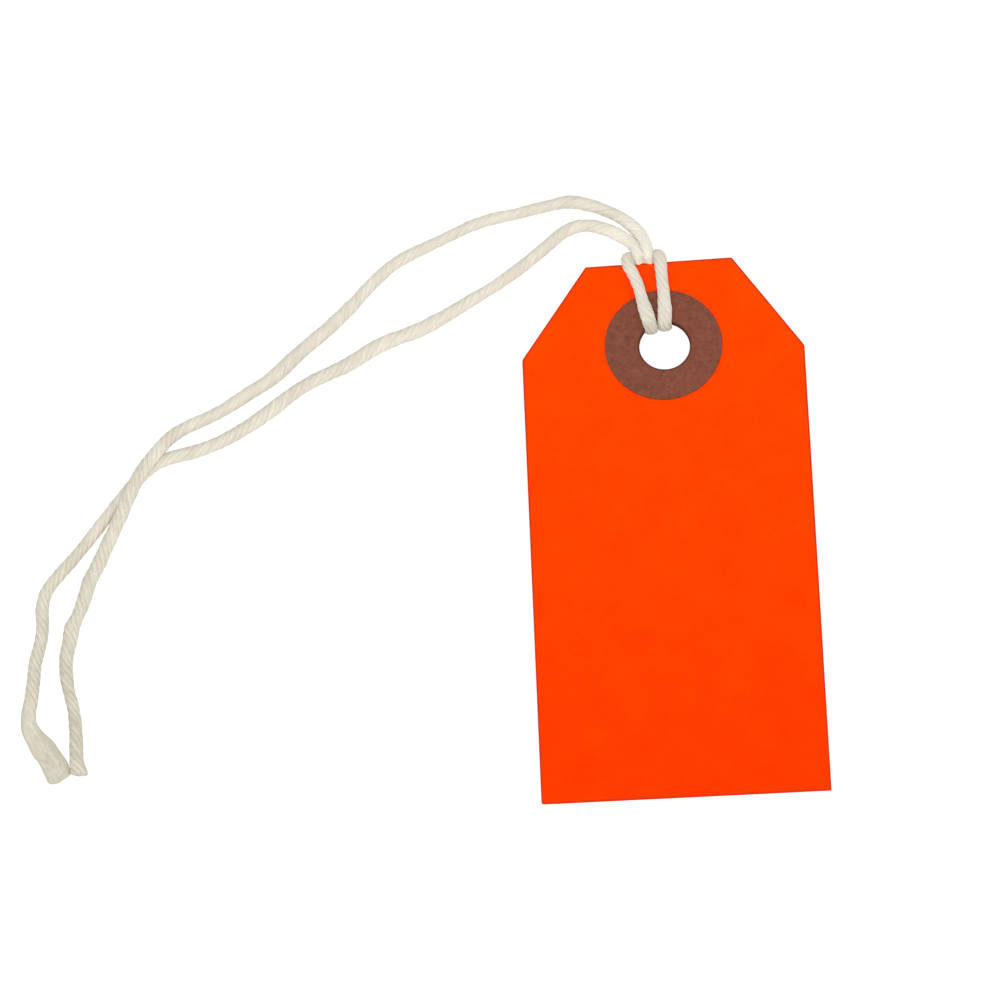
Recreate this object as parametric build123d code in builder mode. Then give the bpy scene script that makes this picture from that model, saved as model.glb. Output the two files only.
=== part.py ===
from build123d import *
import math
import os

# ---------------------------------------------------------------------------
# Strung card tag, lying face up on a table. Millimetres.
# +X to the right across the card, +Y along the card towards its eyelet,
# +Z up. The origin is under the middle of the card, on the table.
# The bottom edge of the card touches the table; the string that passes under
# the eyelet end lifts that end, so the card lies on a slight slope.
# ---------------------------------------------------------------------------

# card blank
card_length = 70.0
card_width = 35.0
card_thickness = 0.33
top_edge_half_width = 9.2      # the straight edge left between the clipped corners
clip_drop = 12.05              # height of each clipped corner
card_slope = 1.9               # degrees, eyelet end up

# punched hole and the fibre patches round it (u across, v up from the bottom edge)
hole_u, hole_v = 0.15, 58.75
hole_radius = 3.10
patch_u, patch_v = 0.10, 58.90
patch_radius = 7.29
patch_thickness = 0.20

# twisted cotton string: pulled thin in the hitch, full in the free tails
hitch_dia = 1.35
neck_dia = 1.40
tail_dia = 1.60
touch = 0.03                   # hair's breadth between the string and the card
lay_height = 0.82              # centre of a tail that lies on the table

# the string swings sideways about an upright axis just past the top edge,
# and lifts off the table about a level axis where the two strands turn left
swing_x, swing_y = -1.75, 38.75
swing_hub = 1.90
lift_x = -8.90
lift_hub = 0.78
joint_gap = 0.14

# ---------------------------------------------------------------------------
# the sloping card: u, v, w are across, up and out of the card, from the middle
# of its bottom edge on the back face
slope = math.radians(card_slope)
bottom_edge_y = -(card_length * math.cos(slope) - card_thickness * math.sin(slope)) / 2
card_back = Plane(
    origin=(0, bottom_edge_y, 0),
    x_dir=(1, 0, 0),
    z_dir=(0, -math.sin(slope), math.cos(slope)),
)
card_front = card_back.offset(card_thickness)


def on_card(u, v, w):
    return (
        u,
        bottom_edge_y + v * math.cos(slope) - w * math.sin(slope),
        v * math.sin(slope) + w * math.cos(slope),
    )


def bend_radii(name, points, shares=None):
    """Largest tangent arc at each inner point: it takes a share of the shorter run."""
    radii = []
    for i in range(1, len(points) - 1):
        run_in = Vector(*points[i]) - Vector(*points[i - 1])
        run_out = Vector(*points[i + 1]) - Vector(*points[i])
        share = 0.45 if shares is None else shares.get(i, 0.45)
        half_turn = math.radians(run_in.get_angle(run_out)) / 2
        radii.append(share * min(run_in.length, run_out.length) / math.tan(half_turn))
    print(name, "radii", [round(r, 2) for r in radii])
    return radii


def compare(name, volume, path, diameter):
    path_length = sum(edge.length for edge in path.edges())
    print(
        f"{name}: length {path_length:.2f}, volume {volume:.3f},"
        f" section x length {math.pi * diameter**2 / 4 * path_length:.3f}"
    )


# ---------------------------------------------------------------------------
# card: a punched blank with two clipped corners
shoulder_v = card_length - clip_drop
with BuildPart() as tag_card:
    with BuildSketch(card_back):
        with BuildLine():
            Polyline(
                (-card_width / 2, 0),
                (card_width / 2, 0),
                (card_width / 2, shoulder_v),
                (top_edge_half_width, card_length),
                (-top_edge_half_width, card_length),
                (-card_width / 2, shoulder_v),
                close=True,
            )
        make_face()
        with Locations((hole_u, hole_v)):
            Circle(hole_radius, mode=Mode.SUBTRACT)
    extrude(amount=card_thickness)
tag_card.part.label = "tag_card"

# round fibre patches, one glued on each face, punched with the card
with BuildPart() as front_eyelet_patch:
    with BuildSketch(card_front):
        with Locations((patch_u, patch_v)):
            Circle(patch_radius)
        with Locations((hole_u, hole_v)):
            Circle(hole_radius, mode=Mode.SUBTRACT)
    extrude(amount=patch_thickness)
front_eyelet_patch.part.label = "front_eyelet_patch"

with BuildPart() as rear_eyelet_patch:
    with BuildSketch(card_back):
        with Locations((patch_u, patch_v)):
            Circle(patch_radius)
        with Locations((hole_u, hole_v)):
            Circle(hole_radius, mode=Mode.SUBTRACT)
    extrude(amount=-patch_thickness)
rear_eyelet_patch.part.label = "rear_eyelet_patch"

# ---------------------------------------------------------------------------
# cow hitch: the doubled string comes up through the hole, its bight goes over
# the top edge and lies across under the two legs that run out below the card
hitch_r = hitch_dia / 2
over_patch = card_thickness + patch_thickness + hitch_r + touch
over_card = card_thickness + hitch_r + touch
under_patch = -patch_thickness - hitch_r - touch
rim_turn = (over_patch - under_patch) / 2
bight_y = 36.37
bight_z = hitch_r + 0.02


def rim_v(u):
    return hole_v + math.sqrt(hole_radius**2 - (u - hole_u) ** 2)


right_u, left_u = 0.42, -1.42                  # where the legs pass the hole's rim
right_x, left_x = 0.41, -3.97                  # where the bight goes over the top edge
right_v, left_v = rim_v(right_u) - rim_turn, rim_v(left_u) - rim_turn
hitch_route = [
    (-1.22, 37.85, 2.08),
    (-1.14, 37.02, 2.20),
    (-1.06, 35.97, 2.17),
    (-0.95, 35.09, 1.51),
    (-0.72, 34.05, 1.06),
    on_card(-0.25, 66.6, under_patch - 0.16),
    on_card(0.15, 64.4, under_patch - 0.02),
    on_card(right_u, right_v, under_patch),
    on_card(right_u, right_v, over_patch),
    on_card(0.47, 64.4, over_patch),
    on_card(0.56, 66.9, over_patch + 0.02),
    on_card(0.47, 69.0, over_card + 0.10),
    (right_x, 35.66, 3.44),
    (right_x, 36.26, 2.10),
    (right_x - 0.02, bight_y, bight_z),
    (left_x + 0.02, bight_y, bight_z),
    (left_x, 36.26, 2.10),
    (left_x, 35.66, 3.44),
    on_card(-3.50, 68.9, over_card + 0.10),
    on_card(-2.62, 66.7, over_patch + 0.02),
    on_card(-1.95, 64.0, over_patch),
    on_card(left_u, left_v, over_patch),
    on_card(left_u, left_v, under_patch),
    on_card(-1.72, 64.0, under_patch - 0.02),
    on_card(-2.15, 66.4, under_patch - 0.16),
    (-2.36, 34.05, 1.06),
    (-2.44, 35.09, 1.51),
    (-2.52, 35.97, 2.17),
    (-2.62, 37.02, 2.18),
    (-2.80, 37.80, 1.94),
]
# the bight's two lower corners take more of their short upright run
hitch_shares = {13: 0.28, 14: 0.56, 15: 0.56, 16: 0.28}
with BuildPart() as string_hitch:
    with BuildLine() as hitch_path:
        FilletPolyline(
            *hitch_route, radius=bend_radii("string_hitch", hitch_route, hitch_shares)
        )
    with BuildSketch(Plane(hitch_path.line @ 0, z_dir=hitch_path.line % 0)):
        Circle(hitch_r)
    sweep(path=hitch_path.line)
    compare("string_hitch", string_hitch.part.volume, hitch_path.line, hitch_dia)
    # its two ends stay clear of the strands that swing past them
    with Locations((swing_x, swing_y, 2.0)):
        Cylinder(swing_hub + joint_gap, 8.0, mode=Mode.SUBTRACT)
string_hitch.part.label = "string_hitch"

# ---------------------------------------------------------------------------
# necks: the two strands from the hitch round their first bend to the left
neck_r = neck_dia / 2
neck_end = Plane(origin=(lift_x + tail_dia / 2 + joint_gap, 0, 0), z_dir=(1, 0, 0))
left_neck_route = [
    (-2.62, 37.02, 2.18),
    (-2.80, 37.80, 1.94),
    (-3.10, 38.62, 1.72),
    (-3.86, 39.45, 1.46),
    (-5.32, 40.24, 1.16),
    (-7.06, 41.10, 0.93),
    (-8.96, 41.66, lay_height),
]
right_neck_route = [
    (-1.14, 37.02, 2.20),
    (-1.22, 37.85, 2.08),
    (-1.42, 39.30, 1.74),
    (-2.05, 41.05, 1.40),
    (-3.36, 42.60, 1.10),
    (-5.08, 43.65, 0.92),
    (-6.95, 44.32, lay_height),
    (-8.96, 44.62, lay_height),
]

with BuildPart() as string_neck_left:
    with BuildLine() as left_neck_path:
        FilletPolyline(
            *left_neck_route, radius=bend_radii("string_neck_left", left_neck_route)
        )
    with BuildSketch(Plane(left_neck_path.line @ 0, z_dir=left_neck_path.line % 0)):
        Circle(neck_r)
    sweep(path=left_neck_path.line)
    compare("string_neck_left", string_neck_left.part.volume, left_neck_path.line, neck_dia)
    # start: rounded about the swing axis
    with BuildSketch(Plane.XY.offset(-1)):
        with Locations((swing_x, swing_y - 3.9)):
            Rectangle(8, 6)
        with Locations((swing_x, swing_y)):
            Circle(swing_hub, mode=Mode.SUBTRACT)
    extrude(amount=6, mode=Mode.SUBTRACT)
    # end: square, clear of the tail when that stands up against it
    split(bisect_by=neck_end, keep=Keep.TOP)
string_neck_left.part.label = "string_neck_left"

with BuildPart() as string_neck_right:
    with BuildLine() as right_neck_path:
        FilletPolyline(
            *right_neck_route, radius=bend_radii("string_neck_right", right_neck_route)
        )
    with BuildSketch(Plane(right_neck_path.line @ 0, z_dir=right_neck_path.line % 0)):
        Circle(neck_r)
    sweep(path=right_neck_path.line)
    compare("string_neck_right", string_neck_right.part.volume, right_neck_path.line, neck_dia)
    with BuildSketch(Plane.XY.offset(-1)):
        with Locations((swing_x, swing_y - 3)):
            Rectangle(8, 6)
        with Locations((swing_x, swing_y)):
            Circle(swing_hub, mode=Mode.SUBTRACT)
    extrude(amount=6, mode=Mode.SUBTRACT)
    split(bisect_by=neck_end, keep=Keep.TOP)
string_neck_right.part.label = "string_neck_right"

# ---------------------------------------------------------------------------
# tails: the two free ends, lying on the table. They cross near their ends,
# where the right one passes over the left one in a low hump.
tail_r = tail_dia / 2
left_tail_route = [
    (-7.95, 41.40, lay_height),
    (-9.35, 41.62, lay_height),
    (-11.36, 41.12, lay_height),
    (-13.97, 38.91, lay_height),
    (-18.12, 35.60, lay_height),
    (-23.47, 32.24, lay_height),
    (-28.58, 29.22, lay_height),
    (-33.84, 27.21, lay_height),
    (-38.71, 24.62, lay_height),
    (-43.63, 22.28, lay_height),
    (-47.77, 19.82, lay_height),
    (-51.72, 16.92, lay_height),
    (-56.32, 14.38, lay_height),
    (-60.24, 13.14, lay_height),
    (-63.00, 12.21, lay_height),
    (-65.33, 9.92, lay_height),
    (-68.24, 6.52, lay_height),
    (-71.19, 3.35, lay_height),
    (-73.96, 0.27, lay_height),
    (-76.58, -2.90, lay_height),
    (-77.90, -5.96, lay_height),
    (-77.82, -9.40, lay_height),
    (-78.76, -13.03, lay_height),
    (-79.11, -16.68, lay_height),
    (-79.79, -20.36, lay_height),
    (-78.59, -23.87, lay_height),
    (-77.02, -26.42, lay_height),
    (-76.25, -28.53, lay_height),
]
hump = 2.62                     # height of the right tail's centre over the left one
right_tail_route = [
    (-7.95, 44.48, lay_height),
    (-9.30, 44.66, lay_height),
    (-12.40, 44.72, lay_height),
    (-17.80, 43.68, lay_height),
    (-24.13, 42.04, lay_height),
    (-30.50, 39.11, lay_height),
    (-34.97, 36.18, lay_height),
    (-38.88, 31.99, lay_height),
    (-43.04, 28.18, lay_height),
    (-47.34, 24.35, lay_height),
    (-51.32, 21.38, lay_height),
    (-55.51, 18.83, 0.90),
    (-59.13, 17.08, 1.35),
    (-62.30, 14.55, 2.10),
    (-64.30, 11.80, hump),
    (-67.95, 5.70, hump),
    (-69.50, 2.35, 1.80),
    (-70.66, -0.26, 0.98),
    (-72.11, -3.38, lay_height),
    (-73.30, -7.12, lay_height),
    (-74.74, -10.63, lay_height),
    (-75.08, -14.28, lay_height),
    (-74.55, -17.98, lay_height),
    (-73.88, -21.40, lay_height),
    (-73.81, -24.78, lay_height),
    (-73.70, -27.89, lay_height),
]

with BuildPart() as string_tail_left:
    with BuildLine() as left_tail_path:
        FilletPolyline(
            *left_tail_route, radius=bend_radii("string_tail_left", left_tail_route)
        )
    with BuildSketch(Plane(left_tail_path.line @ 0, z_dir=left_tail_path.line % 0)):
        Circle(tail_r)
    sweep(path=left_tail_path.line)
    compare("string_tail_left", string_tail_left.part.volume, left_tail_path.line, tail_dia)
    # start: rounded about the lift axis
    with BuildSketch(Plane.XZ.offset(-43)):
        with Locations((lift_x + 1.5, lay_height)):
            Rectangle(3, 6)
        with Locations((lift_x, lay_height)):
            Circle(lift_hub, mode=Mode.SUBTRACT)
    extrude(amount=5, both=True, mode=Mode.SUBTRACT)
string_tail_left.part.label = "string_tail_left"

with BuildPart() as string_tail_right:
    with BuildLine() as right_tail_path:
        FilletPolyline(
            *right_tail_route, radius=bend_radii("string_tail_right", right_tail_route)
        )
    with BuildSketch(Plane(right_tail_path.line @ 0, z_dir=right_tail_path.line % 0)):
        Circle(tail_r)
    sweep(path=right_tail_path.line)
    compare("string_tail_right", string_tail_right.part.volume, right_tail_path.line, tail_dia)
    with BuildSketch(Plane.XZ.offset(-43)):
        with Locations((lift_x + 1.5, lay_height)):
            Rectangle(3, 6)
        with Locations((lift_x, lay_height)):
            Circle(lift_hub, mode=Mode.SUBTRACT)
    extrude(amount=5, both=True, mode=Mode.SUBTRACT)
string_tail_right.part.label = "string_tail_right"

# ---------------------------------------------------------------------------
os.makedirs("parts", exist_ok=True)
export_step(tag_card.part, "parts/tag_card.step")
export_step(front_eyelet_patch.part, "parts/front_eyelet_patch.step")
export_step(rear_eyelet_patch.part, "parts/rear_eyelet_patch.step")
export_step(string_hitch.part, "parts/string_hitch.step")
export_step(string_neck_left.part, "parts/string_neck_left.step")
export_step(string_neck_right.part, "parts/string_neck_right.step")
export_step(string_tail_left.part, "parts/string_tail_left.step")
export_step(string_tail_right.part, "parts/string_tail_right.step")
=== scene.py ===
import math

import bpy
import numpy as np
from mathutils import Matrix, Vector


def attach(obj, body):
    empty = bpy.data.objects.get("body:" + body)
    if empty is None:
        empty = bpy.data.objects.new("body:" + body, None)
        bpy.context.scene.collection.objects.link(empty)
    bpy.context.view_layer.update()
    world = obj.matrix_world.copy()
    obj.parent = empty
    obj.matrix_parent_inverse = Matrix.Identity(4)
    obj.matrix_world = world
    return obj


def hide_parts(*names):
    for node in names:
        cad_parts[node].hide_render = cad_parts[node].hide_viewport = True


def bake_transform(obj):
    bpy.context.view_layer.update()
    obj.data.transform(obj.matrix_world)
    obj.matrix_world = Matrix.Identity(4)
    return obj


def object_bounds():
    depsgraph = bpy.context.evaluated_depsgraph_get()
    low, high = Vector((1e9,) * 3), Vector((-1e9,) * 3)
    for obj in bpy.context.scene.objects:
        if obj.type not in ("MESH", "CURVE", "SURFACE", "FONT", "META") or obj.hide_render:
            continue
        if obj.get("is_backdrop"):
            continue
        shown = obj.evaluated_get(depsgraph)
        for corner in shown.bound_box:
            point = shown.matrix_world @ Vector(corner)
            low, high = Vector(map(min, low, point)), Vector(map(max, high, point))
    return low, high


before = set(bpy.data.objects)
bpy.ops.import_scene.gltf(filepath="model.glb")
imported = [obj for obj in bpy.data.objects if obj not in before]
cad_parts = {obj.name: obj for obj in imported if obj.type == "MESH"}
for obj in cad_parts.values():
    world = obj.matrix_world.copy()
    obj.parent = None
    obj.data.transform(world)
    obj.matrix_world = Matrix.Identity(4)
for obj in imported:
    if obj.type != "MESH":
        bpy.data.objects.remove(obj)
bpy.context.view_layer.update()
scene = bpy.context.scene
MM = 0.001

# ---------------------------------------------------------------------------
# the tag's own measures, in millimetres, as in the CAD part
card_length, card_width, card_thickness = 70.0, 35.0, 0.33
top_half, clip_drop = 9.2, 12.05
hole_u, hole_v, hole_r = 0.25, 58.74, 3.16
patch_u, patch_v, patch_r, patch_t = 0.13, 58.90, 7.31, 0.20
slope = math.radians(1.9)
bottom_edge_y = -(card_length * math.cos(slope) - card_thickness * math.sin(slope)) / 2


def on_card(u, v, w):
    """across, up and out of the card, from the middle of its bottom edge on the back"""
    return (
        u,
        bottom_edge_y + v * math.cos(slope) - w * math.sin(slope),
        v * math.sin(slope) + w * math.cos(slope),
    )


def to_row(uvw):
    """the same for an array of points, in metres"""
    u, v, w = uvw[:, 0], uvw[:, 1], uvw[:, 2]
    return (
        np.stack(
            [
                u,
                bottom_edge_y + v * math.cos(slope) - w * math.sin(slope),
                v * math.sin(slope) + w * math.cos(slope),
            ],
            axis=1,
        )
        * MM
    )


def smooth_step(x, low, high):
    t = np.clip((np.asarray(x, float) - low) / (high - low), 0, 1)
    return t * t * (3 - 2 * t)


# ---------------------------------------------------------------------------
# node helpers
class Nodes:
    def __init__(self, name):
        self.material = bpy.data.materials.new(name)
        self.material.use_nodes = True
        self.tree = self.material.node_tree
        self.shader = self.tree.nodes["Principled BSDF"]

    def add(self, kind, **settings):
        node = self.tree.nodes.new(kind)
        for key, value in settings.items():
            if hasattr(node, key):
                setattr(node, key, value)
            else:
                node.inputs[key].default_value = value
        return node

    def link(self, a, b):
        self.tree.links.new(a, b)

    def attribute(self, name):
        return self.add("ShaderNodeAttribute", attribute_name=name)

    def stretched(self, source, scale):
        node = self.add("ShaderNodeVectorMath", operation="MULTIPLY")
        self.link(source, node.inputs[0])
        node.inputs[1].default_value = scale
        return node.outputs[0]

    def noise(self, vector, scale, detail=3.0, rough=0.55, distortion=0.0):
        node = self.add("ShaderNodeTexNoise")
        node.inputs["Scale"].default_value = scale
        node.inputs["Detail"].default_value = detail
        node.inputs["Roughness"].default_value = rough
        node.inputs["Distortion"].default_value = distortion
        self.link(vector, node.inputs["Vector"])
        return node.outputs["Fac"]

    def ramp(self, fac, stops):
        node = self.add("ShaderNodeValToRGB")
        self.link(fac, node.inputs["Fac"])
        band = node.color_ramp
        while len(band.elements) < len(stops):
            band.elements.new(0.5)
        for element, (at, colour) in zip(band.elements, stops):
            element.position = at
            element.color = (*colour, 1.0) if len(colour) == 3 else colour
        return node.outputs["Color"]

    def mix(self, fac, a, b, blend="MIX"):
        node = self.add("ShaderNodeMix", data_type="RGBA", blend_type=blend)
        for value, socket in ((fac, 0), (a, 6), (b, 7)):
            if isinstance(value, bpy.types.NodeSocket):
                self.link(value, node.inputs[socket])
            elif socket == 0:
                node.inputs[0].default_value = value
            else:
                node.inputs[socket].default_value = (*value, 1.0)
        return node.outputs[2]

    def math(self, operation, a, b=0.0, clamp=False):
        node = self.add("ShaderNodeMath", operation=operation)
        node.use_clamp = clamp
        for value, socket in ((a, 0), (b, 1)):
            if isinstance(value, bpy.types.NodeSocket):
                self.link(value, node.inputs[socket])
            else:
                node.inputs[socket].default_value = value
        return node.outputs[0]

    def span(self, fac, low, high, out_low, out_high):
        node = self.add("ShaderNodeMapRange")
        node.clamp = True
        for key, value in (
            ("From Min", low),
            ("From Max", high),
            ("To Min", out_low),
            ("To Max", out_high),
        ):
            node.inputs[key].default_value = value
        self.link(fac, node.inputs["Value"])
        return node.outputs["Result"]

    def bump(self, height, strength, distance):
        node = self.add("ShaderNodeBump")
        node.inputs["Strength"].default_value = strength
        node.inputs["Distance"].default_value = distance
        self.link(height, node.inputs["Height"])
        self.link(node.outputs["Normal"], self.shader.inputs["Normal"])

    def set(self, **sockets):
        for key, value in sockets.items():
            socket = self.shader.inputs[key.replace("_", " ")]
            if isinstance(value, bpy.types.NodeSocket):
                self.link(value, socket)
            else:
                socket.default_value = value


def new_mesh(name, points, faces, material, smooth=True):
    mesh = bpy.data.meshes.new(name)
    mesh.from_pydata([tuple(p) for p in points], [], [tuple(f) for f in faces])
    mesh.update()
    mesh.polygons.foreach_set("use_smooth", [smooth] * len(mesh.polygons))
    mesh.materials.append(material)
    obj = bpy.data.objects.new(name, mesh)
    scene.collection.objects.link(obj)
    return obj


def give(obj, name, values):
    """a named value or vector at each vertex, for the material"""
    values = np.asarray(values, np.float32)
    if values.ndim == 1:
        made = obj.data.attributes.new(name, "FLOAT", "POINT")
        made.data.foreach_set("value", values)
    else:
        made = obj.data.attributes.new(name, "FLOAT_VECTOR", "POINT")
        made.data.foreach_set("vector", values.ravel())


# ---------------------------------------------------------------------------
# materials
def card_material():
    n = Nodes("orange_card")
    place = n.attribute("sheet").outputs["Vector"]
    edge = n.attribute("cut").outputs["Fac"]
    cloud = n.noise(n.stretched(place, (1, 1, 1)), 0.22, 2.0, 0.5)
    flock = n.noise(n.stretched(place, (1.0, 0.55, 1)), 3.2, 4.0, 0.6, 0.6)
    fibre = n.noise(n.stretched(place, (7.0, 2.2, 7.0)), 2.4, 3.0, 0.6, 0.4)
    tone = n.math("ADD", n.math("MULTIPLY", cloud, 0.5), n.math("MULTIPLY", flock, 0.5))
    # painted light: the card's colour is made brighter towards the eyelet end and darker towards the bottom edge, for
    # light that falls off down the card
    rise = n.add("ShaderNodeSeparateXYZ")
    n.link(place, rise.inputs[0])
    low = n.ramp(tone, [(0.34, (0.955, 0.0288, 0.0003)), (0.50, (0.985, 0.0337, 0.0004)), (0.66, (1.0, 0.0386, 0.0005))])
    high = n.ramp(tone, [(0.34, (0.955, 0.0434, 0.0003)), (0.50, (0.985, 0.0498, 0.0004)), (0.66, (1.0, 0.0562, 0.0006))])
    face = n.mix(n.span(rise.outputs["Y"], 0.0, 62.0, 0.0, 1.0), low, high)
    rim = n.ramp(fibre, [(0.3, (0.43, 0.024, 0.003)), (0.7, (0.59, 0.041, 0.007))])
    n.set(
        Base_Color=n.mix(edge, face, rim),
        Roughness=n.span(flock, 0.3, 0.7, 0.72, 0.86),
        Specular_IOR_Level=0.0,
    )
    relief = n.math("ADD", n.math("MULTIPLY", fibre, 0.6), n.math("MULTIPLY", flock, 0.4))
    n.bump(relief, 0.35, 0.03 * MM)
    return n.material


def patch_material():
    n = Nodes("brown_fibre")
    place = n.attribute("sheet").outputs["Vector"]
    edge = n.attribute("cut").outputs["Fac"]
    felt = n.noise(n.stretched(place, (1.0, 1.0, 1.0)), 1.1, 5.0, 0.62, 0.8)
    hair = n.noise(n.stretched(place, (2.2, 6.5, 2.2)), 1.7, 3.0, 0.6, 1.2)
    fleck = n.noise(place, 4.2, 2.0, 0.5)
    tone = n.math("ADD", n.math("MULTIPLY", felt, 0.55), n.math("MULTIPLY", hair, 0.45))
    face = n.ramp(
        tone,
        [
            (0.26, (0.102, 0.031, 0.019)),
            (0.50, (0.179, 0.0585, 0.0355)),
            (0.74, (0.256, 0.089, 0.058)),
        ],
    )
    spots = n.span(fleck, 0.66, 0.74, 0.0, 0.5)
    face = n.mix(spots, face, (0.095, 0.036, 0.026))
    pale = n.span(fleck, 0.30, 0.24, 0.0, 0.35)
    face = n.mix(pale, face, (0.25, 0.105, 0.075))
    speck = n.noise(n.stretched(place, (1.6, 0.8, 1.6)), 2.3, 2.0, 0.5)
    face = n.mix(n.span(speck, 0.67, 0.74, 0.0, 0.55), face, (0.070, 0.026, 0.019))
    n.set(
        Base_Color=n.mix(edge, face, (0.055, 0.020, 0.013)),
        Roughness=n.span(felt, 0.3, 0.7, 0.70, 0.88),
        Specular_IOR_Level=0.03,
    )
    n.bump(n.math("ADD", n.math("MULTIPLY", hair, 0.6), n.math("MULTIPLY", felt, 0.6)), 0.45, 0.04 * MM)
    return n.material


def string_material():
    n = Nodes("cream_cotton")
    place = n.attribute("yarn").outputs["Vector"]
    valley = n.attribute("valley").outputs["Fac"]
    wear_and_painted_light = n.attribute("wear_and_painted_light").outputs["Fac"]
    flat = n.attribute("flat").outputs["Fac"]
    fibre = n.noise(n.stretched(place, (9.0, 9.0, 1.5)), 1.0, 4.0, 0.62, 0.8)
    strand = n.noise(n.stretched(place, (2.6, 2.6, 0.35)), 1.0, 2.0, 0.5, 0.3)
    patchy = n.noise(n.stretched(place, (0.5, 0.5, 0.11)), 1.0, 2.0, 0.5)
    tone = n.math(
        "ADD",
        n.math("MULTIPLY", fibre, 0.54),
        n.math("ADD", n.math("MULTIPLY", strand, 0.22), n.math("MULTIPLY", patchy, 0.24)),
    )
    face = n.ramp(
        tone,
        [
            (0.36, (0.520, 0.475, 0.389)),
            (0.50, (0.624, 0.582, 0.493)),
            (0.64, (0.722, 0.684, 0.600)),
        ],
    )
    # handled ends are a little yellower, and the same tone is used as painted shade where the legs turn into the
    # eyelet; the flattened one is grey and mottled
    mottle = n.noise(n.stretched(place, (2.8, 2.8, 0.7)), 1.0, 3.0, 0.6, 0.8)
    yellowed_and_shaded = n.ramp(tone, [(0.38, (0.375, 0.350, 0.268)), (0.62, (0.640, 0.610, 0.508))])
    face = n.mix(wear_and_painted_light, face, yellowed_and_shaded)
    # painted light: where the value goes below zero, in the two necks, this lighter tone is mixed in to lift the shade
    # between the strands
    painted_light_tone = n.ramp(tone, [(0.36, (0.640, 0.600, 0.510)), (0.64, (0.850, 0.815, 0.725))])
    face = n.mix(n.span(wear_and_painted_light, 0.0, -1.0, 0.0, 1.0), face, painted_light_tone)
    grey = n.ramp(mottle, [(0.32, (0.436, 0.410, 0.337)), (0.68, (0.566, 0.532, 0.438))])
    face = n.mix(flat, face, grey)
    # painted shade in the grooves between the yarns and along the rim of the flattened end, deeper where the wear
    # value is higher, which adds a little handling dirt there
    groove_shade_and_dirt = n.span(wear_and_painted_light, 0.05, 0.7, 0.15, 0.52)
    face = n.mix(n.math("MULTIPLY", valley, groove_shade_and_dirt), face, (0.40, 0.362, 0.285))
    n.set(
        Base_Color=face,
        Roughness=n.span(fibre, 0.3, 0.7, 0.82, 0.95),
        Specular_IOR_Level=0.05,
        Sheen_Weight=0.06,
        Sheen_Roughness=0.6,
    )
    n.bump(n.math("ADD", n.math("MULTIPLY", fibre, 0.8), n.math("MULTIPLY", strand, 0.6)), 0.6, 0.06 * MM)
    return n.material


card_look = card_material()
patch_look = patch_material()
string_look = string_material()


# ---------------------------------------------------------------------------
# card blank: rings from the punched hole out to the cut edge, on both faces
def cut_outline(count):
    """points round the card's edge, anticlockwise, with slightly worn corners"""
    half, shoulder = card_width / 2, card_length - clip_drop
    # the guillotine cut isn't quite square: the second figure of each is how far off
    corners = [
        ((-half + 0.02, 0.0 + 0.05), 0.34),
        ((half + 0.09, 0.0 - 0.10), 0.13),
        ((half + 0.08, shoulder - 0.03), 0.25),
        ((top_half - 0.02, card_length + 0.20), 0.22),
        ((-top_half + 0.10, card_length - 0.07), 0.16),
        ((-half - 0.01, shoulder - 0.05), 0.30),
    ]
    path = []
    for i, (corner, cut) in enumerate(corners):
        here = np.array(corner)
        before = np.array(corners[i - 1][0]) - here
        after = np.array(corners[(i + 1) % len(corners)][0]) - here
        start = here + before / np.linalg.norm(before) * cut
        stop = here + after / np.linalg.norm(after) * cut
        for t in np.linspace(0, 1, 9):
            path.append((1 - t) ** 2 * start + 2 * t * (1 - t) * here + t * t * stop)
    path = np.array(path + [path[0]])
    run = np.concatenate([[0], np.cumsum(np.linalg.norm(np.diff(path, axis=0), axis=1))])
    even = np.linspace(0, run[-1], count, endpoint=False)
    at = np.unique(np.concatenate([even, run[:-1]]))
    keep = [at[0]]
    for x in at[1:]:
        if x - keep[-1] > 0.018:
            keep.append(x)
    at = np.array(keep)
    return np.stack([np.interp(at, run, path[:, k]) for k in range(2)], axis=1)


def loop_faces(rings, around, closed):
    """quads between neighbouring rings of the same number of points"""
    faces = []
    for r in range(rings if closed else rings - 1):
        a, b = r * around, ((r + 1) % rings) * around
        for i in range(around):
            j = (i + 1) % around
            faces.append((a + i, a + j, b + j, b + i))
    return faces


def ragged(angle_or_run, seed, size):
    """a small repeatable unevenness of a cut edge"""
    r = np.random.default_rng(seed)
    total = np.zeros_like(angle_or_run)
    for k in (3, 7, 11, 19, 31, 47, 73, 101):
        total += r.normal() * np.sin(k * angle_or_run + r.uniform(0, 6.28)) / math.sqrt(k)
    return size * total


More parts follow.
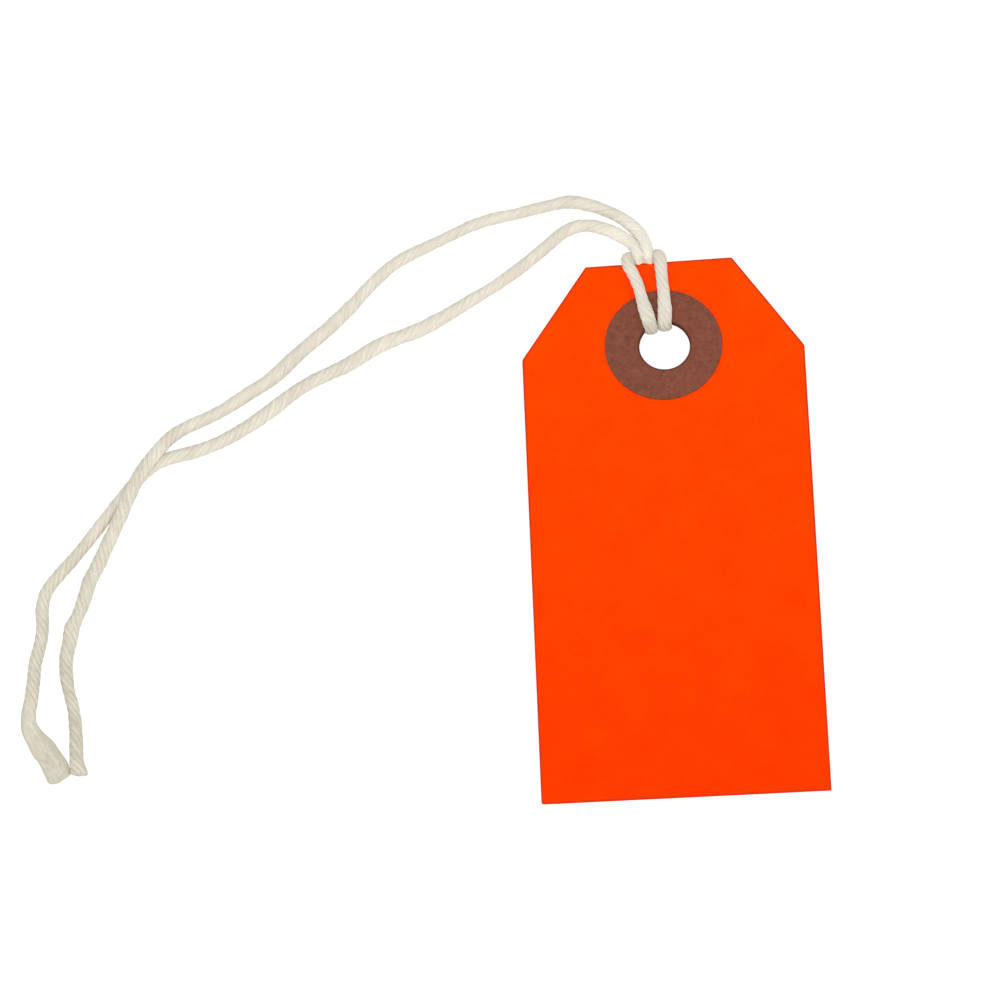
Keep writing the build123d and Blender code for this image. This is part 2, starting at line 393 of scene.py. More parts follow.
def make_card():
    edge = cut_outline(420)
    count = len(edge)
    centre = np.array([hole_u, hole_v])
    ray = edge - centre
    far = np.linalg.norm(ray, axis=1)
    ray = ray / far[:, None]
    angle = np.arctan2(ray[:, 1], ray[:, 0])
    round_trip = np.linspace(0, 2 * math.pi, count, endpoint=False)
    rough = ragged(round_trip, 3, 0.007)
    hole = hole_r + ragged(angle, 5, 0.004)
    soft = 0.055
    # how squarely each ray meets the cut, so that the rounding is as wide all the way round
    along = np.roll(edge, -1, axis=0) - np.roll(edge, 1, axis=0)
    along /= np.linalg.norm(along, axis=1)[:, None]
    square = np.maximum(np.abs(ray[:, 0] * along[:, 1] - ray[:, 1] * along[:, 0]), 0.25)
    rings, cut = [], []

    def add(distance, w, mark):
        rings.append(np.column_stack([centre + ray * distance[:, None], np.broadcast_to(w, (count,))]))
        cut.append(np.full(count, mark))

    outer = far + rough
    # out along the front
    inner_flat, outer_flat = hole + soft, outer - soft / square
    bare = outer_flat - 0.22 / square
    for t in (np.linspace(0, 1, 34) ** 1.25):
        add(inner_flat + (bare - inner_flat) * t, card_thickness, 0.0)
    # round the cut edge, which is burnished a little way in
    add(outer_flat - 0.14 / square, card_thickness, 1.0)
    add(outer_flat, card_thickness, 1.0)
    for a in np.radians([22.5, 45, 67.5, 90]):
        add(outer_flat + soft / square * math.sin(a), card_thickness - soft * (1 - math.cos(a)), 0.65)
    add(outer + ragged(round_trip, 8, 0.006), card_thickness / 2, 0.65)
    for a in np.radians([90, 67.5, 45, 22.5]):
        add(outer_flat + soft / square * math.sin(a), soft * (1 - math.cos(a)), 0.65)
    add(outer_flat, 0.0, 1.0)
    add(outer_flat - 0.14 / square, 0.0, 1.0)
    # back along the underside
    for t in (np.linspace(1, 0, 34) ** 1.25):
        add(inner_flat + (bare - inner_flat) * t, 0.0, 0.0)
    # up the wall of the hole
    for a in np.radians([22.5, 45, 67.5, 90]):
        add(inner_flat - soft * math.sin(a), soft * (1 - math.cos(a)), 1.0)
    add(hole, card_thickness / 2, 1.0)
    for a in np.radians([90, 67.5, 45, 22.5]):
        add(inner_flat - soft * math.sin(a), card_thickness - soft * (1 - math.cos(a)), 1.0)

    uvw = np.concatenate(rings)
    # the string's two turns press the top edge a little
    press = np.zeros(len(uvw))
    for middle in (-3.72, 0.24):
        press += np.exp(-(((uvw[:, 0] - middle) / 0.75) ** 2))
    press *= smooth_step(uvw[:, 1], 69.1, 70.0)
    uvw[:, 2] -= 0.05 * press * (uvw[:, 2] > card_thickness / 2)
    uvw[:, 1] -= 0.03 * press * smooth_step(uvw[:, 1], 69.6, 70.0)
    faces = [f[::-1] for f in loop_faces(len(rings), count, True)]
    obj = new_mesh("card_sheet", to_row(uvw), faces, card_look)
    give(obj, "sheet", uvw)
    give(obj, "cut", np.concatenate(cut))
    return obj


def make_patch(name, front):
    count = 200
    angle = np.linspace(0, 2 * math.pi, count, endpoint=False)
    ray = np.column_stack([np.cos(angle), np.sin(angle)])
    hole_at = np.array([hole_u, hole_v])
    patch_at = np.array([patch_u, patch_v])
    seed = 21 if front else 31
    inner = hole_at + ray * (hole_r - 0.012 + ragged(angle, seed, 0.006))[:, None]
    outer = patch_at + ray * (patch_r + ragged(angle, seed + 1, 0.010))[:, None]
    soft = 0.06
    rings, cut = [], []

    def add(t, inset, height, mark):
        """t 0 at the hole and 1 at the rim; inset past either by that much"""
        line = outer - inner
        length = np.linalg.norm(line, axis=1)[:, None]
        rings.append(np.column_stack([inner + line * t + line / length * inset, np.broadcast_to(height, (count,))]))
        cut.append(np.full(count, mark))

    # the top, from the hole outwards: the punch has drawn the inner rim down
    steps = np.linspace(0, 1, 26)
    for t in steps:
        dip = 0.030 * math.exp(-((t * 4.19) / 0.25)) + 0.022 * math.exp(-(((1 - t) * 4.19) / 0.35))
        mark = 0.85 if t == 0 else (0.30 if t < 0.045 else 0.0)
        add(t * (1 - 2 * soft / 4.19) + soft / 4.19, 0.0, patch_t - dip, mark)
    for a in np.radians([30, 60, 90]):
        add(1.0, -soft + soft * math.sin(a), patch_t - 0.022 - soft * (1 - math.cos(a)), 0.25)
    add(1.0, 0.0, 0.0, 0.35)
    # the glued face
    for t in np.linspace(1, 0, 12)[1:-1]:
        add(t, 0.0, 0.0, 0.0)
    # down into the hole, over the card's own cut edge
    lip = -0.17 if front else -0.06
    add(0.0, 0.012, 0.0, 1.0)
    add(0.0, 0.012, lip * 0.5, 1.0)
    add(0.0, 0.008, lip, 1.0)
    add(0.0, -0.006, lip, 1.0)
    add(0.0, -0.012, lip * 0.5, 1.0)
    add(0.0, -0.008, 0.04, 1.0)
    add(0.0, 0.0, patch_t - 0.030 - soft, 1.0)
    for a in np.radians([60, 30]):
        add(0.0, soft - soft * math.sin(a), patch_t - 0.030 - soft * (1 - math.cos(a)), 0.95)

    uvw = np.concatenate(rings)
    height = uvw[:, 2].copy()
    if front:
        uvw[:, 2] = card_thickness + height
    else:
        uvw[:, 2] = -height
    faces = loop_faces(len(rings), count, True)
    if front:
        faces = [f[::-1] for f in faces]
    obj = new_mesh(name, to_row(uvw), faces, patch_look)
    give(obj, "sheet", uvw)
    give(obj, "cut", np.concatenate(cut))
    return obj


card = make_card()
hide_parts("tag_card")
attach(card, "tag")
front_patch = make_patch("front_patch", True)
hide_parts("front_eyelet_patch")
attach(front_patch, "tag")
rear_patch = make_patch("rear_patch", False)
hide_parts("rear_eyelet_patch")
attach(rear_patch, "tag")

# ---------------------------------------------------------------------------
# the string: one line from the end of the right tail, through the hitch, to the
# end of the left tail. Each row is a point of the route in millimetres, then half
# the string's width and half its height there.
right_tail = [
    (-8.43, 44.44, 0.80, 0.83, 0.78),
    (-10.84, 45.00, 0.82, 0.85, 0.80),
    (-13.23, 44.61, 0.75, 0.73, 0.73),
    (-15.57, 44.07, 0.77, 0.75, 0.75),
    (-17.92, 43.58, 0.75, 0.72, 0.73),
    (-20.29, 43.21, 0.76, 0.73, 0.74),
    (-22.62, 42.59, 0.76, 0.73, 0.74),
    (-24.84, 41.68, 0.73, 0.68, 0.71),
    (-27.01, 40.66, 0.72, 0.67, 0.70),
    (-29.19, 39.65, 0.76, 0.73, 0.74),
    (-31.38, 38.66, 0.77, 0.76, 0.75),
    (-33.46, 37.45, 0.76, 0.74, 0.74),
    (-35.20, 35.80, 0.78, 0.79, 0.76),
    (-36.92, 34.11, 0.78, 0.78, 0.76),
    (-38.47, 32.28, 0.80, 0.82, 0.78),
    (-40.21, 30.63, 0.81, 0.84, 0.79),
    (-41.91, 28.93, 0.82, 0.88, 0.80),
    (-43.79, 27.44, 0.82, 0.89, 0.80),
    (-45.62, 25.88, 0.82, 0.93, 0.80),
    (-47.30, 24.18, 0.82, 0.97, 0.80),
    (-49.13, 22.60, 0.82, 0.90, 0.80),
    (-51.16, 21.34, 0.82, 0.87, 0.80),
    (-53.19, 20.06, 0.82, 0.90, 0.80),
    (-55.23, 18.79, 0.80, 0.82, 0.78),
    (-57.41, 17.79, 0.80, 0.81, 0.78),
    (-59.60, 16.83, 0.94, 0.82, 0.76),
    (-61.52, 15.50, 1.34, 0.84, 0.70),
    (-63.02, 13.76, 1.74, 0.87, 0.64),
    (-64.46, 11.88, 1.86, 0.88, 0.61),
    (-65.78, 9.83, 1.86, 0.88, 0.61),
    (-66.84, 7.68, 1.72, 0.88, 0.64),
    (-67.80, 5.46, 1.40, 0.88, 0.70),
    (-68.90, 3.24, 1.05, 0.88, 0.76),
    (-69.93, 1.05, 0.88, 0.89, 0.78),
    (-70.91, -1.06, 0.82, 0.91, 0.80),
    (-72.03, -3.19, 0.82, 0.90, 0.80),
    (-72.63, -5.52, 0.82, 0.86, 0.80),
    (-73.50, -7.75, 0.82, 0.78, 0.80),
    (-74.10, -8.85, 0.82, 0.95, 0.80),
    (-74.22, -9.30, 0.82, 1.01, 0.80),
    (-74.44, -10.80, 0.82, 0.92, 0.80),
    (-74.88, -12.50, 0.82, 0.89, 0.80),
    (-75.02, -14.60, 0.80, 0.83, 0.78),
    (-74.71, -17.12, 0.76, 0.75, 0.74),
    (-74.12, -19.46, 0.76, 0.75, 0.74),
    (-73.84, -21.83, 0.80, 0.83, 0.78),
    (-73.77, -24.27, 0.79, 0.86, 0.77),
    (-73.80, -26.20, 0.79, 0.85, 0.77),
    (-73.66, -27.40, 0.80, 0.89, 0.78),
    (-73.60, -28.12, 0.80, 0.95, 0.76),
]
right_neck = [
    (-1.80, 38.55, 2.15, 0.83, 0.75),
    (-2.28, 39.75, 1.80, 0.87, 0.75),
    (-3.28, 41.05, 1.42, 0.83, 0.75),
    (-4.52, 42.25, 1.12, 0.78, 0.74),
    (-6.20, 43.34, 0.90, 0.76, 0.74),
]
hitch = [
    (-1.50, 37.60, 2.46, 0.78, 0.74),
    (-1.36, 36.80, 2.76, 0.76, 0.77),
    (-1.20, 36.00, 2.90, 0.82, 0.76),
    (-1.08, 35.44, 2.34, 0.92, 0.60),
    (-0.86, 34.05, 1.12, 0.66, 0.60),
    (*on_card(-0.30, 66.60, -1.00), 0.70, 0.60),
    (*on_card(0.12, 64.40, -0.83), 0.76, 0.58),
    (*on_card(0.32, 62.80, -0.80), 0.84, 0.53),
    (*on_card(0.38, 61.48, -0.84), 0.90, 0.47),
    (*on_card(0.37, 61.20, 1.04), 0.90, 0.47),
    (*on_card(0.43, 62.60, 1.02), 0.93, 0.50),
    (*on_card(0.53, 64.30, 1.05), 0.83, 0.53),
    (*on_card(0.46, 66.30, 0.98), 0.77, 0.56),
    (*on_card(0.35, 67.90, 0.92), 0.75, 0.58),
    (*on_card(0.31, 69.20, 0.95), 0.78, 0.62),
    (0.20, 35.25, 3.42, 0.86, 0.72),
    (0.02, 35.94, 2.90, 0.89, 0.75),
    (-0.10, 36.24, 2.07, 0.82, 0.74),
    (-0.20, 36.27, 1.35, 0.73, 0.73),
    (-0.60, 36.30, 1.02, 0.71, 0.70),
    (-1.85, 36.32, 0.98, 0.70, 0.67),
    (-2.95, 36.27, 1.02, 0.71, 0.70),
    (-3.36, 36.17, 1.35, 0.73, 0.73),
    (-3.46, 36.12, 2.04, 0.82, 0.74),
    (-3.70, 35.82, 2.88, 0.88, 0.75),
    (-3.90, 35.12, 3.38, 0.84, 0.72),
    (*on_card(-3.55, 69.15, 0.95), 0.75, 0.62),
    (*on_card(-3.00, 67.90, 0.92), 0.78, 0.58),
    (*on_card(-2.57, 66.50, 0.97), 0.68, 0.56),
    (*on_card(-2.31, 65.00, 1.06), 0.74, 0.53),
    (*on_card(-1.90, 63.50, 1.04), 0.88, 0.50),
    (*on_card(-1.56, 62.10, 1.02), 0.95, 0.50),
    (*on_card(-1.26, 60.85, 1.04), 0.70, 0.47),
    (*on_card(-1.42, 61.15, -0.84), 0.90, 0.47),
    (*on_card(-1.52, 62.50, -0.80), 0.84, 0.53),
    (*on_card(-1.72, 64.00, -0.83), 0.76, 0.58),
    (*on_card(-2.08, 66.40, -1.00), 0.70, 0.60),
    (-2.38, 34.05, 1.12, 0.66, 0.60),
    (-2.52, 35.44, 2.34, 0.92, 0.60),
    (-2.60, 36.00, 2.88, 0.82, 0.77),
    (-2.72, 36.80, 2.70, 0.75, 0.77),
    (-2.98, 37.60, 2.38, 0.76, 0.74),
]
left_neck = [
    (-3.42, 38.32, 2.05, 0.82, 0.75),
    (-4.55, 39.38, 1.62, 0.88, 0.75),
    (-6.60, 40.90, 1.06, 0.83, 0.76),
]
left_tail = [
    (-9.20, 41.70, 0.78, 0.78, 0.76),
    (-11.51, 40.96, 0.78, 0.79, 0.76),
    (-13.33, 39.39, 0.79, 0.81, 0.77),
    (-15.15, 37.86, 0.78, 0.78, 0.76),
    (-17.00, 36.35, 0.79, 0.80, 0.77),
    (-18.93, 34.95, 0.78, 0.77, 0.76),
    (-20.91, 33.63, 0.76, 0.74, 0.74),
    (-22.99, 32.46, 0.79, 0.80, 0.77),
    (-25.03, 31.21, 0.80, 0.81, 0.78),
    (-27.07, 29.99, 0.82, 0.85, 0.80),
    (-29.16, 28.84, 0.82, 0.93, 0.80),
    (-31.38, 27.94, 0.82, 0.94, 0.80),
    (-33.65, 27.22, 0.82, 0.93, 0.80),
    (-35.86, 26.33, 0.82, 0.97, 0.80),
    (-37.86, 25.00, 0.82, 0.93, 0.80),
    (-39.92, 23.82, 0.82, 0.89, 0.80),
    (-42.15, 22.95, 0.82, 0.88, 0.80),
    (-44.30, 21.90, 0.80, 0.82, 0.78),
    (-46.31, 20.63, 0.81, 0.84, 0.79),
    (-48.20, 19.17, 0.82, 0.88, 0.80),
    (-50.12, 17.75, 0.82, 0.88, 0.80),
    (-52.09, 16.41, 0.81, 0.85, 0.79),
    (-54.16, 15.24, 0.80, 0.82, 0.78),
    (-56.34, 14.26, 0.79, 0.80, 0.77),
    (-58.59, 13.45, 0.81, 0.83, 0.79),
    (-60.92, 13.14, 0.72, 0.87, 0.70),
    (-63.00, 12.55, 0.66, 0.87, 0.64),
    (-64.62, 11.54, 0.63, 0.86, 0.61),
    (-66.06, 9.98, 0.63, 0.85, 0.61),
    (-67.43, 8.32, 0.66, 0.83, 0.64),
    (-68.75, 6.58, 0.71, 0.80, 0.69),
    (-70.12, 4.84, 0.75, 0.78, 0.73),
    (-72.75, 1.42, 0.77, 0.76, 0.75),
    (-74.26, -0.43, 0.78, 0.78, 0.76),
    (-75.88, -2.17, 0.78, 0.78, 0.76),
    (-77.39, -4.07, 0.78, 0.78, 0.76),
    (-77.91, -6.40, 0.81, 0.84, 0.79),
    (-77.72, -8.81, 0.81, 0.83, 0.79),
    (-78.10, -11.16, 0.79, 0.80, 0.77),
    (-78.79, -13.45, 0.79, 0.80, 0.77),
    (-78.96, -15.84, 0.80, 0.81, 0.78),
    (-79.27, -18.20, 0.79, 0.85, 0.77),
    (-79.70, -20.45, 0.74, 0.93, 0.72),
    (-79.55, -21.75, 0.67, 1.04, 0.65),
    (-79.02, -22.95, 0.61, 1.20, 0.59),
    (-78.10, -24.28, 0.56, 1.50, 0.54),
    (-76.90, -26.02, 0.52, 1.55, 0.50),
    (-76.15, -27.66, 0.48, 1.58, 0.46),
    (-75.78, -28.71, 0.45, 1.62, 0.43),
]
route = right_tail[::-1] + right_neck[::-1] + hitch + left_neck + left_tail


def spline_points(points, steps):
    """points along a smooth line with these as its control points, in metres"""
    curve = bpy.data.curves.new("line", "CURVE")
    curve.dimensions = "3D"
    curve.resolution_u = steps
    spline = curve.splines.new("NURBS")
    spline.points.add(len(points) - 1)
    for point, place in zip(spline.points, points):
        point.co = (place[0] * MM, place[1] * MM, place[2] * MM, 1.0)
    spline.order_u = 3
    spline.use_endpoint_u = True
    holder = bpy.data.objects.new("line", curve)
    mesh = bpy.data.meshes.new_from_object(holder)
    line = np.array([v.co for v in mesh.vertices], float).reshape(-1, 3)
    bpy.data.objects.remove(holder)
    bpy.data.curves.remove(curve)
    bpy.data.meshes.remove(mesh)
    return line


def along(line):
    return np.concatenate([[0], np.cumsum(np.linalg.norm(np.diff(line, axis=0), axis=1))])


yarns, per_yarn = 6, 8
around = yarns * per_yarn
lead = 6.4  # one turn of the twist, in millimetres
step = 0.17

raw = spline_points(route, 24)
raw_run = along(raw) / MM
# where each control point comes nearest along the line
share = np.concatenate([[0.0], np.arange(len(route) - 2) + 0.5, [len(route) - 2.0]]) / (len(route) - 2)
mark_run = np.interp(share * (len(raw) - 1), np.arange(len(raw)), raw_run)
samples = int(round(raw_run[-1] / step)) + 1
run = np.linspace(0, raw_run[-1], samples)
line = np.stack([np.interp(run, raw_run, raw[:, k]) for k in range(3)], axis=1) / MM
sizes = np.array([p[3:5] for p in route])


def eased(values):
    """values at the control points, spread along the line without corners"""
    flat = np.interp(run, mark_run, values)
    width = 9
    kernel = np.hanning(2 * width + 3)[1:-1]
    kernel /= kernel.sum()
    return np.convolve(np.pad(flat, width, mode="edge"), kernel, mode="valid")


half_width, half_height = eased(sizes[:, 0]), eased(sizes[:, 1])

first, last = len(right_tail) + len(right_neck), len(right_tail) + len(right_neck) + len(hitch)
hitch_from, hitch_to = mark_run[first], mark_run[last - 1]
bar_from, bar_to = mark_run[first + 18], mark_run[first + 22]

tangent = np.gradient(line, axis=0)
tangent /= np.linalg.norm(tangent, axis=1)[:, None]
# across: the way the string is wide. Level on the table, and sideways where it
# turns round the hole's rim and the top edge.
across = np.cross(tangent, (0.0, 0.0, 1.0))
turning = (run > mark_run[first + 2]) & (run < mark_run[last - 3]) & ~((run > bar_from) & (run < bar_to))
across[turning] = np.array([1.0, 0.0, 0.0])
across -= (across * tangent).sum(1)[:, None] * tangent
across /= np.linalg.norm(across, axis=1)[:, None]
outward = np.cross(across, tangent)

# a frame that doesn't turn about the line, from which the twist is counted
side = np.zeros_like(line)
side[0] = across[0]
for i in range(1, samples):
    side[i] = side[i - 1] - (side[i - 1] @ tangent[i]) * tangent[i]
    side[i] /= np.linalg.norm(side[i])
other = np.cross(tangent, side)

# the twist: left-handed, a little uneven, and opened at the flattened left end
wander = np.random.default_rng(11)
uneven = sum(0.10 * np.sin(run / q + wander.uniform(0, 6.28)) for q in (2.3, 4.1, 7.9))
rate = (1 + 0.5 * uneven) / lead
opened = smooth_step(run, run[-1] - 12.0, run[-1] - 6.5)
rate *= 1 - 0.985 * opened
turn = -2 * math.pi * np.concatenate([[0], np.cumsum((rate[1:] + rate[:-1]) / 2 * np.diff(run))])

# the section: six yarns lying against each other
spot = np.arange(around) * 2 * math.pi / around
part = ((spot * yarns / (2 * math.pi)) % 1) * 2 - 1
crown = (np.sqrt(1 - (0.94 * part) ** 2) - math.sqrt(1 - 0.94**2)) / (1 - math.sqrt(1 - 0.94**2))
yarn_of = np.floor(spot * yarns / (2 * math.pi)).astype(int)
thick = np.zeros((samples, yarns))
for y in range(yarns):
    for q, much in ((0.42, 0.011), (0.75, 0.013), (1.7, 0.016), (3.3, 0.016), (6.1, 0.016), (11.0, 0.016)):
        thick[:, y] += much * np.sin(run / q + wander.uniform(0, 6.28))
# the yarns stand out most at the handled ends and least along the middle of each tail
to_end = np.minimum(run, run[-1] - run)
depth = 0.085 * (1 - 0.6 * opened) * np.interp(to_end, [32, 62, 104, 118, 124], [1.6, 0.75, 0.68, 1.0, 1.3])
full = 1 - depth[:, None] * (1 - crown[None, :]) + thick[:, yarn_of] * crown[None, :]
lump = sum(0.013 * np.sin(run / q + wander.uniform(0, 6.28)) for q in (0.5, 0.9, 1.9, 3.7))
full *= 1 + lump[:, None]

angle = spot[None, :] + turn[:, None]
offset = full[:, :, None] * (
    np.cos(angle)[:, :, None] * side[:, None, :] + np.sin(angle)[:, :, None] * other[:, None, :]
)
wide = (offset * across[:, None, :]).sum(2)
high = (offset * outward[:, None, :]).sum(2)
offset = (
    (wide * half_width[:, None])[:, :, None] * across[:, None, :]
    + (high * half_height[:, None])[:, :, None] * outward[:, None, :]
)
skin = line[:, None, :] + offset
# the flattened end is cut nearly square, with a shallow notch, and the other aslant
ending = np.clip(1 - (run[-1] - run) / 2.2, 0, 1) ** 2
lean = (offset * across[:, None, :]).sum(2)
notch = np.interp(
    lean,
    [-1.66, -1.56, -1.44, -1.25, -0.90, -0.50, -0.20, 0.20, 0.50, 1.00, 1.25, 1.45, 1.56, 1.66],
    [0.62, 0.42, 0.28, 0.26, 0.38, 0.34, 0.24, 0.09, 0.02, 0.00, 0.06, 0.20, 0.36, 0.60],
)
skin = skin - (ending[:, None] * notch)[:, :, None] * tangent[:, None, :]
aslant = np.clip(1 - run / 1.6, 0, 1) ** 2
skin = skin - (aslant[:, None] * (0.18 * lean))[:, :, None] * tangent[:, None, :]
skin = skin + (aslant[:, None] * (0.26 * np.clip(lean, 0, None)))[:, :, None] * across[:, None, :]
offset = skin - line[:, None, :]

run_way = np.gradient(skin, axis=0)
round_way = np.roll(skin, -1, axis=1) - np.roll(skin, 1, axis=1)
skin_normal = np.cross(round_way, run_way)
skin_normal *= np.sign((skin_normal * offset).sum(2).mean())
skin_normal /= np.linalg.norm(skin_normal, axis=2)[:, :, None]
yarn_place = np.stack(
    [
        np.broadcast_to(np.cos(spot), (samples, around)),
        np.broadcast_to(np.sin(spot), (samples, around)),
        np.broadcast_to(run[:, None], (samples, around)),
    ],
    axis=2,
)
# painted shade: the grooves between the yarns, and the rim of the flattened end, get a value that darkens them in the
# material
yarn_valley = np.broadcast_to(np.clip(1 - crown * 1.6, 0, 1)[None, :], (samples, around)) * (1 - 0.7 * opened[:, None])
rim = smooth_step(np.abs(wide), 0.80, 0.99) * opened[:, None]
yarn_valley = np.maximum(yarn_valley, rim)
left_over = run[-1] - run
# yellowed by handling towards the free ends; painted shade, darker where the legs turn down into the eyelet;
# darker where the loop turns over the top edge; painted light, lighter in the two necks
row_wear_and_painted_light = np.where(
    run < run[-1] / 2,
    np.interp(run, [6, 18, 30, 70], [0.92, 0.42, 0.32, 0.0]),
    np.interp(left_over, [8, 27, 38, 60, 84], [0.56, 0.44, 0.04, 0.24, 0.0]),
)
up_card = (line[:, 1] - bottom_edge_y) * math.cos(slope) + line[:, 2] * math.sin(slope)
looped = (run > mark_run[first + 5]) & (run < mark_run[last - 6])
# painted shade: the legs are darkened where they turn down into the eyelet
row_wear_and_painted_light = row_wear_and_painted_light + looped * 0.95 * (1 - smooth_step(up_card, 61.3, 61.95))
looped = (run > mark_run[first + 12]) & (run < mark_run[last - 13])
row_wear_and_painted_light = row_wear_and_painted_light + looped * 0.32 * smooth_step(up_card, 68.9, 70.2)
# painted light: the value is pushed below zero in the two necks, which lightens them where the strands shade each
# other
right_neck_painted_light = smooth_step(run, hitch_from - 8, hitch_from - 2) * (1 - smooth_step(run, mark_run[first + 3], mark_run[first + 5]))
left_neck_painted_light = smooth_step(run, mark_run[last - 6], mark_run[last - 4]) * (1 - smooth_step(run, hitch_to + 2, hitch_to + 8))
row_wear_and_painted_light = row_wear_and_painted_light - 0.9 * (right_neck_painted_light + left_neck_painted_light)
yarn_wear_and_painted_light = np.broadcast_to(row_wear_and_painted_light[:, None], (samples, around))
yarn_flat = np.broadcast_to(smooth_step(run, run[-1] - 9.0, run[-1] - 4.5)[:, None], (samples, around))


def string_piece(name, start, stop, loose_start=False, loose_stop=False):
    rows = stop - start + 1
    points = skin[start : stop + 1].reshape(-1, 3)
    place = yarn_place[start : stop + 1].reshape(-1, 3)
    valley = yarn_valley[start : stop + 1].reshape(-1)
    wear_and_painted_light = yarn_wear_and_painted_light[start : stop + 1].reshape(-1)
    flat = yarn_flat[start : stop + 1].reshape(-1)
    faces = [f[::-1] for f in loop_faces(rows, around, False)]
    normal = skin_normal[start : stop + 1].reshape(-1, 3)
    points, place, valley, wear_and_painted_light, flat, normal = [list(x) for x in (points, place, valley, wear_and_painted_light, flat, normal)]
    fray = np.random.default_rng(17 + start)

    def close(row, base, way, loose):
        middle, forward = line[row], tangent[row] * way
        ring = list(range(base, base + around))
        if loose:
            # cut yarn ends: each a little domed and of its own length
            shrinks = np.array([0.965, 0.90, 0.80, 0.68, 0.54, 0.40, 0.26, 0.12])
            dome = 0.16 * np.sqrt(1 - shrinks**2)
            each = 0.035 * fray.normal(size=yarns)[yarn_of] * crown + 0.05 * (crown - 0.5)
            between = np.sin(np.pi * shrinks) ** 0.7
            rise = dome[:, None] + between[:, None] * each[None, :] + 0.006 * fray.normal(size=(len(shrinks), around))
        else:
            shrinks = np.array([0.985, 0.6])
            rise = np.zeros((2, around))
        cap = middle + offset[row][None] * shrinks[:, None, None] + forward * rise[:, :, None]
        whole = np.concatenate([skin[row][None], cap])
        facing = np.cross(np.roll(whole, -1, axis=1) - np.roll(whole, 1, axis=1), np.gradient(whole, axis=0))[1:]
        facing *= np.sign((facing * forward).sum(2).mean())
        if not loose:
            facing = np.broadcast_to(forward, facing.shape)
        facing = facing / np.linalg.norm(facing, axis=2)[:, :, None]
        for level, shrink in enumerate(shrinks):
            made = list(range(len(points), len(points) + around))
            points.extend(cap[level])
            normal.extend(facing[level])
            place.extend(yarn_place[row] * (shrink, shrink, 1.0) + (0.0, 0.0, way * 0.6 * (1 - shrink)))
            valley.extend(0.5 * yarn_valley[row] * shrink + 0.15 if loose else np.zeros(around))
            wear_and_painted_light.extend(yarn_wear_and_painted_light[row])
            flat.extend(yarn_flat[row])
            for i in range(around):
                j = (i + 1) % around
                quad = (ring[i], ring[j], made[j], made[i])
                faces.append(quad if way < 0 else quad[::-1])
            ring = made
        tip = len(points)
        points.append(cap[-1].mean(0))
        normal.append(forward)
        place.append((0.0, 0.0, run[row] + way * 0.6))
        valley.append(0.15 if loose else 0.0)
        wear_and_painted_light.append(yarn_wear_and_painted_light[row, 0])
        flat.append(yarn_flat[row, 0])
        for i in range(around):
            j = (i + 1) % around
            tri = (ring[i], ring[j], tip)
            faces.append(tri if way < 0 else tri[::-1])

    close(start, 0, -1, loose_start)
    close(stop, (rows - 1) * around, 1, loose_stop)
    faces = [f[::-1] for f in faces]
    obj = new_mesh(name, np.array(points) * MM, faces, string_look)
    obj.data.normals_split_custom_set_from_vertices([tuple(v) for v in normal])
    give(obj, "yarn", np.array(place))
    give(obj, "valley", np.array(valley))
    give(obj, "wear_and_painted_light", np.array(wear_and_painted_light))
    give(obj, "flat", np.array(flat))
    return obj


middle_row = samples // 2
right_split = max(i for i in range(middle_row) if line[i, 0] < -6.0 and line[i, 1] > 38)
left_split = min(i for i in range(middle_row, samples) if line[i, 0] < -6.0 and line[i, 1] > 38)

hitched = string_piece("string_hitched", right_split, left_split)
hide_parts("string_hitch", "string_neck_left", "string_neck_right")
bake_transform(hitched)

for name, node, low, high, loose in (
    ("string_right_tail", "string_tail_right", 0, right_split, "start"),
    ("string_left_tail", "string_tail_left", left_split, samples - 1, "stop"),
):
    tail = string_piece(name, low, high, loose == "start", loose == "stop")
    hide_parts(node)
    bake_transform(tail)
    path = line[low : high + 1] * MM
    if loose == "start":
        path = path[::-1]

# ---------------------------------------------------------------------------
# floor, light and camera
floor_look = Nodes("white_floor")
floor_look.set(
    Base_Color=(0.20, 0.20, 0.20, 1.0),
    Roughness=1.0,
    Specular_IOR_Level=0.0,
    Emission_Color=(1.0, 1.0, 1.0, 1.0),
    Emission_Strength=0.86,
)
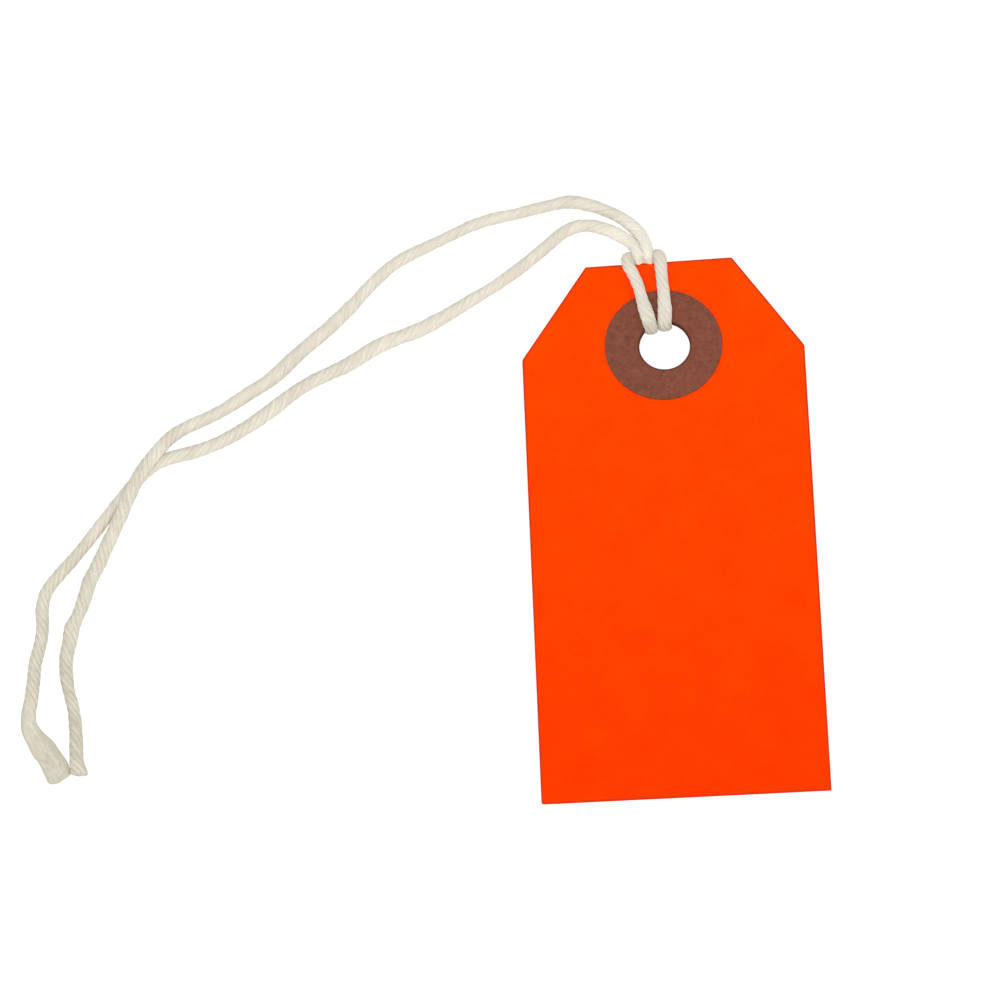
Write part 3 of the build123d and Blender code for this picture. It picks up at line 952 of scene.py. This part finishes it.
# a wide round sweep, level under the object and curving up far away, so that no edge of it shows
rings_at = [(0.4, 0.0), (1.2, 0.0), (2.2, 0.0)]
rings_at += [(2.2 + 0.8 * math.sin(a), 0.4 * (1 - math.cos(a))) for a in np.radians([15, 30, 45, 60, 75, 90])]
spokes = 96
sweep = [
    (r * math.cos(2 * math.pi * k / spokes), r * math.sin(2 * math.pi * k / spokes), z - 0.00002)
    for r, z in rings_at
    for k in range(spokes)
]
floor = new_mesh(
    "floor",
    sweep,
    [f[::-1] for f in loop_faces(len(rings_at), spokes, False)] + [tuple(range(spokes))],
    floor_look.material,
)
floor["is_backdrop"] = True

world = bpy.data.worlds.new("studio")
scene.world = world
world.use_nodes = True
world.node_tree.nodes["Background"].inputs["Color"].default_value = (1, 1, 1, 1)
world.node_tree.nodes["Background"].inputs["Strength"].default_value = 0.82

def soft_box(name, place, width, power):
    lamp = bpy.data.lights.new(name, "AREA")
    lamp.shape = "DISK"
    lamp.size = width
    lamp.energy = power
    holder = bpy.data.objects.new(name, lamp)
    scene.collection.objects.link(holder)
    place, aim = np.array(place), np.array([-0.03, 0.0, 0.0])
    back = (place - aim) / np.linalg.norm(place - aim)
    right = np.cross((0.0, 1.0, 0.0), back)
    right /= np.linalg.norm(right)
    up = np.cross(back, right)
    holder.matrix_world = Matrix([(right[k], up[k], back[k], place[k]) for k in range(3)] + [(0, 0, 0, 1)])


soft_box("front_light", (0.0, -0.258, 0.565), 0.40, 2.30)

lens = bpy.data.cameras.new("camera")
lens.sensor_width = 36.0
lens.lens = 216.0
lens.clip_start, lens.clip_end = 0.01, 20.0
camera = bpy.data.objects.new("camera", lens)
scene.collection.objects.link(camera)
camera.matrix_world = Matrix(
    [
        (0.99802, 0.05357, 0.03310, 0.003487),
        (-0.03688, 0.92327, -0.38238, -0.278142),
        (-0.05104, 0.38040, 0.92341, 0.684236),
        (0, 0, 0, 1),
    ]
)
scene.camera = camera
scene.view_settings.view_transform = "Standard"
scene.view_settings.look = "None"
scene.view_settings.exposure = 0.0
scene.view_settings.gamma = 1.0

low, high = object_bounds()
